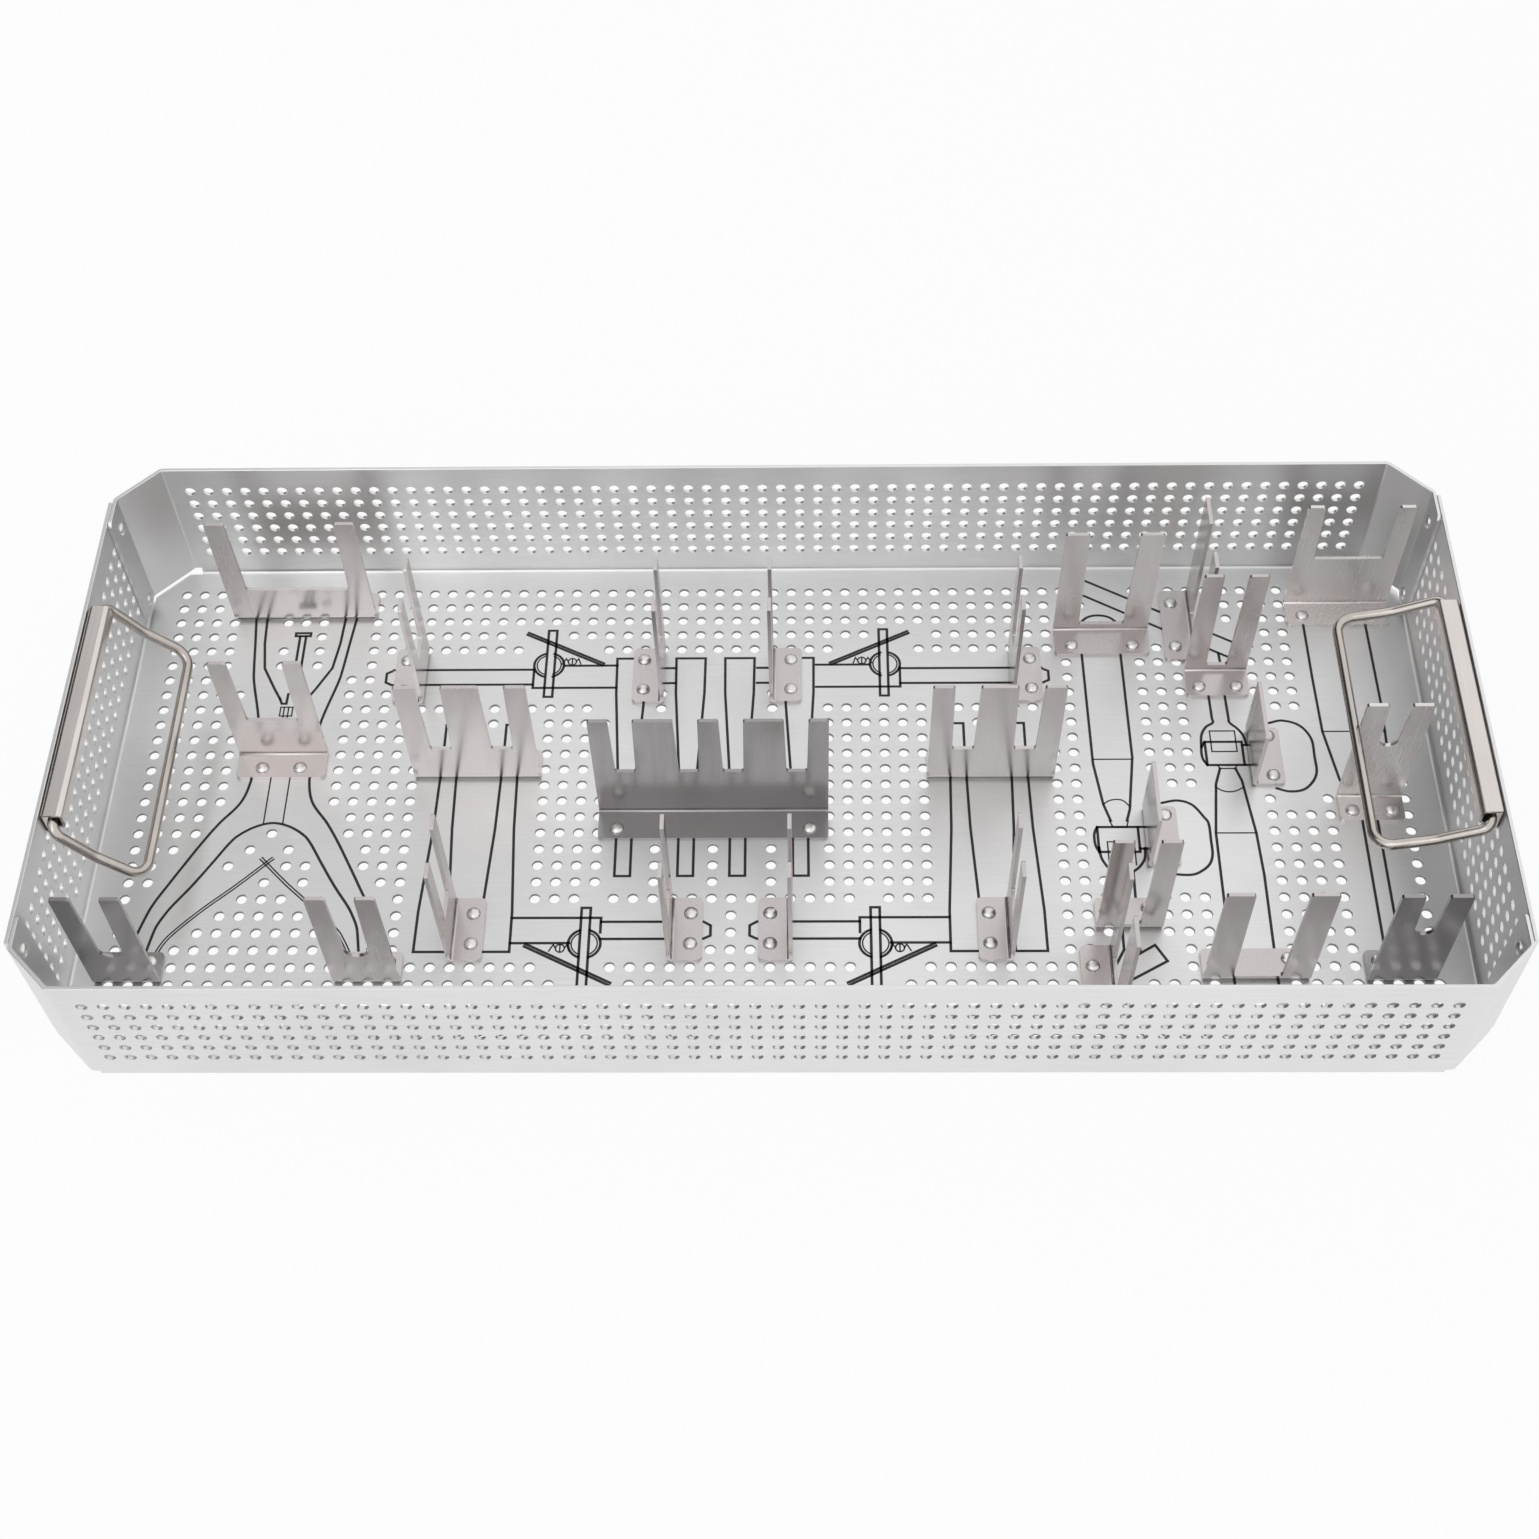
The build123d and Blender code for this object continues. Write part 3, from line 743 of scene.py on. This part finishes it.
def corner_piece(name, side_x, side_y):
    """Corner panel folded on to its lap flange, eased at the rim and rounded at the flange's free corners."""
    path = filleted([(x, y, 0) for x, y in CORNER_PATH], (BEND_RADIUS, BEND_RADIUS), FOLD_STEPS)
    last = path.pop()
    back = (path[-1] - last).normalized()
    path += [last + back * inset for inset in LAP_INSETS]
    bm = bmesh.new()
    sections = []
    for k, point in enumerate(path):
        before, after = path[max(k - 1, 0)], path[min(k + 1, len(path) - 1)]
        along = (after - before).normalized()
        out = Vector((-along.y, along.x, 0))
        left = (last - point).length
        cut = LAP_ROUND - sqrt(max(0, LAP_ROUND ** 2 - (LAP_ROUND - left) ** 2)) if left < LAP_ROUND else 0
        low, high = CORNER_EDGE + cut, RIM - cut
        section = []
        for depth, z in ((0, low + EASE), (EASE, low), (SHEET - EASE, low), (SHEET, low + EASE),
                         (SHEET, high - EASE), (SHEET - EASE, high), (EASE, high), (0, high - EASE)):
            spot = point + out * depth
            section.append(bm.verts.new((side_x * spot.x, side_y * spot.y, z)))
        sections.append(section)
    lofted(bm, sections)
    return as_object(name, bm, SATIN, FLAT_SMOOTH)


for across, side_y in (("back", 1), ("front", -1)):
    for along, side_x in (("right", 1), ("left", -1)):
        tray_pieces.append(corner_piece(f"{across}_{along}_corner", side_x, side_y))
for piece in tray_pieces:
    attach(piece, "tray")
    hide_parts("tray_body")


# ---------------------------------------------------------------- rivets

# Radius and height of the rings of a head, as shares of the head's own
HEAD_PROFILE = ((1.0, 0.0), (1.0, 0.16), (0.965, 0.34), (0.87, 0.56), (0.72, 0.75), (0.52, 0.89), (0.27, 0.97))


def islands(node):
    """Boxes of the separate solids of a node, in millimetres."""
    bm = bmesh.new()
    bm.from_mesh(frame["nodes"][node].data)
    bmesh.ops.remove_doubles(bm, verts=bm.verts, dist=WELD_DISTANCE)
    seen, boxes = set(), []
    for start in bm.verts:
        if start in seen:
            continue
        group, queue = [], [start]
        seen.add(start)
        while queue:
            vert = queue.pop()
            group.append(vert.co / MM)
            for edge in vert.link_edges:
                other = edge.other_vert(vert)
                if other not in seen:
                    seen.add(other)
                    queue.append(other)
        low = Vector([min(c[k] for c in group) for k in range(3)])
        high = Vector([max(c[k] for c in group) for k in range(3)])
        boxes.append((low, high))
    bm.free()
    return sorted(boxes, key=lambda pair: tuple(round(v, 3) for v in pair[0]))


def domes(name, seats):
    """Button heads on their seats, each given by its centre and the way that it points."""
    bm = bmesh.new()
    for seat, way in seats:
        across = Vector((0, 0, 1)).cross(way) if abs(way.z) < 0.5 else Vector((1, 0, 0))
        other = way.cross(across)
        rings = []
        for radius, height in HEAD_PROFILE:
            ring = []
            for k in range(HEAD_SEGMENTS):
                angle = 2 * pi * k / HEAD_SEGMENTS
                arm = across * cos(angle) + other * sin(angle)
                spot = seat + arm * (radius * HEAD_RADIUS) + way * (height * HEAD_HEIGHT)
                ring.append(bm.verts.new(spot))
            rings.append(ring)
        for a, b in zip(rings, rings[1:]):
            joined(bm, a, b)
        top = bm.verts.new(seat + way * HEAD_HEIGHT)
        for k in range(HEAD_SEGMENTS):
            bm.faces.new((rings[-1][k], rings[-1][(k + 1) % HEAD_SEGMENTS], top))
        bm.faces.new(rings[0][::-1])
    return as_object(name, bm, RIVET, ROUND_SMOOTH)


foot_seats = []
for low, high in islands("bracket_rivets"):
    foot_seats.append((Vector(((low.x + high.x) / 2, (low.y + high.y) / 2, low.z)), Vector((0, 0, 1))))
lap_seats = []
for low, high in islands("corner_rivets"):
    inward = -1 if low.x > 0 else 1
    base = high.x if inward < 0 else low.x
    lap_seats.append((Vector((base, (low.y + high.y) / 2, (low.z + high.z) / 2)), Vector((inward, 0, 0))))
for name, node, seats in (("foot_rivet_heads", "bracket_rivets", foot_seats),
                          ("lap_rivet_heads", "corner_rivets", lap_seats)):
    piece = domes(name, seats)
    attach(piece, "tray")
    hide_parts(node)


# ---------------------------------------------------------------- bails

def bail_wire(node, droop, side):
    """Round wire along the bail's bent path."""
    path = filleted(BAIL_LOOP, BAIL_BENDS, WIRE_BEND_STEPS)
    turn = Matrix.Rotation(radians(-droop), 3, "Y")
    path = [turn @ point + Vector((HINGE_X, 0, HINGE_Z)) for point in path]
    path = [Vector((side * point.x, point.y, point.z)) for point in path]
    bm = bmesh.new()
    rings = []
    across = None
    for k, point in enumerate(path):
        before, after = path[max(k - 1, 0)], path[min(k + 1, len(path) - 1)]
        along = (after - before).normalized()
        if across is None:
            across = along.cross(Vector((0, 0, 1))).normalized()
        else:
            across = (across - along * across.dot(along)).normalized()
        other = along.cross(across)
        ring = []
        for m in range(WIRE_SEGMENTS):
            angle = 2 * pi * m / WIRE_SEGMENTS
            ring.append(bm.verts.new(point + (across * cos(angle) + other * sin(angle)) * WIRE_RADIUS))
        rings.append(ring)
    lofted(bm, rings)
    return as_object(node + "_wire", bm, DRAWN, ROUND_SMOOTH)


for node, side in (("left_bail", -1), ("right_bail", 1)):
    piece = bail_wire(node, BAIL_ANGLES[node], side)
    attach(piece, node)
    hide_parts(node)


# ---------------------------------------------------------------- carried-over CAD nodes

def dress(node, material):
    """Material and eased edges for a CAD node."""
    piece = frame["nodes"][node]
    piece.data.materials.clear()
    piece.data.materials.append(material)
    weld = piece.modifiers.new("weld", "WELD")
    weld.merge_threshold = WELD_DISTANCE
    bevel = piece.modifiers.new("ease", "BEVEL")
    bevel.width = PLATE_EASE * MM
    bevel.segments = 2
    bevel.limit_method = "ANGLE"
    bevel.angle_limit = radians(EASED_ANGLE)


# The brackets that the photograph shows darker or paler than the rest get darker and paler copies of the bracket
# steel: a painted reflection of dark or bright surroundings
plates = {"rack_middle": PLATE_DARK_REFLECTION, "fork_jaw_left": PLATE_DARK_REFLECTION, "fork_far_front": PLATE_DARK_REFLECTION,
          "fork_far_back": PLATE_BRIGHT_REFLECTION, "fork_far_middle": PLATE_BRIGHT_REFLECTION}
for node in brackets:
    dress(node, plates.get(node, PLATE))
for node in ("left_retainer", "right_retainer"):
    dress(node, FOLDED)


# ---------------------------------------------------------------- studio

FLOOR_REACH = 30000
FLOOR_DROP = 0.05
FLOOR_COLOUR = (0.85, 0.85, 0.85, 1)
FLOOR_WHITE_SHARE = 0.92
LIGHT_LEVEL = 0.7
DIM_SHARE = 0.95
DIM_FROM_X, DIM_TO_X = -0.26, -0.42
DIM_FROM_Y, DIM_TO_Y = -0.75, -0.4


def ray_kinds(tree):
    """Outputs that are 1 for a camera ray, and for a ray that a mirror or glass sends on."""
    path = tree.nodes.new("ShaderNodeLightPath").outputs
    return path["Is Camera Ray"], math_node(tree, "MAXIMUM", path["Is Glossy Ray"], path["Is Transmission Ray"])


def stage_floor():
    """Wide pale floor that keeps a faint shadow."""
    bm = bmesh.new()
    for x, y in ((-1, -1), (1, -1), (1, 1), (-1, 1)):
        bm.verts.new((x * FLOOR_REACH, y * FLOOR_REACH, -FLOOR_DROP))
    bm.faces.new(bm.verts)
    material = bpy.data.materials.new("studio_floor")
    material.use_nodes = True
    tree = material.node_tree
    tree.nodes.clear()
    out = tree.nodes.new("ShaderNodeOutputMaterial")
    lit = tree.nodes.new("ShaderNodeBsdfDiffuse")
    lit.inputs["Color"].default_value = FLOOR_COLOUR
    white = tree.nodes.new("ShaderNodeEmission")
    white.inputs["Strength"].default_value = 1.0
    blend = tree.nodes.new("ShaderNodeMixShader")
    seen = math_node(tree, "MAXIMUM", *ray_kinds(tree))
    tree.links.new(math_node(tree, "MULTIPLY", seen, FLOOR_WHITE_SHARE), blend.inputs["Fac"])
    tree.links.new(lit.outputs[0], blend.inputs[1])
    tree.links.new(white.outputs[0], blend.inputs[2])
    tree.links.new(blend.outputs[0], out.inputs["Surface"])
    floor = as_object("studio_floor", bm, material)


def eased(tree, value, start, end, low, high):
    """Output that goes smoothly from low to high as a value goes from start to end."""
    node = tree.nodes.new("ShaderNodeMapRange")
    node.interpolation_type = "SMOOTHSTEP"
    for name, number in (("From Min", start), ("From Max", end), ("To Min", low), ("To Max", high)):
        node.inputs[name].default_value = number
    tree.links.new(value, node.inputs["Value"])
    return node.outputs["Result"]


def world_light():
    """Even light; the background is white to the camera, and reflections see the same white dimmer to the left."""
    world = bpy.data.worlds.new("studio")
    world.use_nodes = True
    tree = world.node_tree
    sky = tree.nodes["Background"]
    sky.inputs["Color"].default_value = (1, 1, 1, 1)
    way = tree.nodes.new("ShaderNodeSeparateXYZ")
    tree.links.new(tree.nodes.new("ShaderNodeTexCoord").outputs["Generated"], way.inputs[0])
    left = eased(tree, way.outputs["X"], DIM_TO_X, DIM_FROM_X, DIM_SHARE, 0.0)
    behind = eased(tree, way.outputs["Y"], DIM_FROM_Y, DIM_TO_Y, 0.0, 1.0)
    studio = math_node(tree, "SUBTRACT", 1.0, math_node(tree, "MULTIPLY", behind, left))
    camera_ray, mirrored_ray = ray_kinds(tree)
    other_ray = math_node(tree, "SUBTRACT", 1.0, math_node(tree, "MAXIMUM", mirrored_ray, camera_ray))
    reflected = math_node(tree, "MULTIPLY", mirrored_ray, studio)
    lighting = math_node(tree, "MULTIPLY", other_ray, LIGHT_LEVEL)
    total = math_node(tree, "ADD", camera_ray, math_node(tree, "ADD", reflected, lighting))
    tree.links.new(total, sky.inputs["Strength"])
    bpy.context.scene.world = world


def lamp(name, place, target, size, power):
    """Large soft lamp turned to a point."""
    light = bpy.data.lights.new(name, "AREA")
    light.shape = "RECTANGLE"
    light.size, light.size_y = size
    light.energy = power
    holder = bpy.data.objects.new(name, light)
    holder.location = place
    holder.rotation_euler = (Vector(target) - Vector(place)).to_track_quat("-Z", "Y").to_euler()
    bpy.context.scene.collection.objects.link(holder)


stage_floor()
world_light()
lamp("key_lamp", place=(-1.1, -0.8, 1.9), target=(0, 0, 0), size=(2.2, 2.2), power=14)

# Camera solved from the photograph's hole raster
camera = bpy.data.cameras.new("camera")
camera.lens = 51.23
camera.sensor_width = 36
camera.sensor_fit = "HORIZONTAL"
camera.clip_start = 0.01
holder = bpy.data.objects.new("camera", camera)
right = Vector((0.9998, 0.0083, -0.0178))
up = Vector((0.0033, 0.8224, 0.5690))
forward = Vector((-0.0194, 0.5689, -0.8222))
turn = Matrix((right, up, -forward)).transposed().to_4x4()
holder.matrix_world = Matrix.Translation((0.0162, -0.4870, 0.7266)) @ turn
bpy.context.scene.collection.objects.link(holder)
bpy.context.scene.camera = holder
bpy.context.scene.view_settings.view_transform = "Standard"
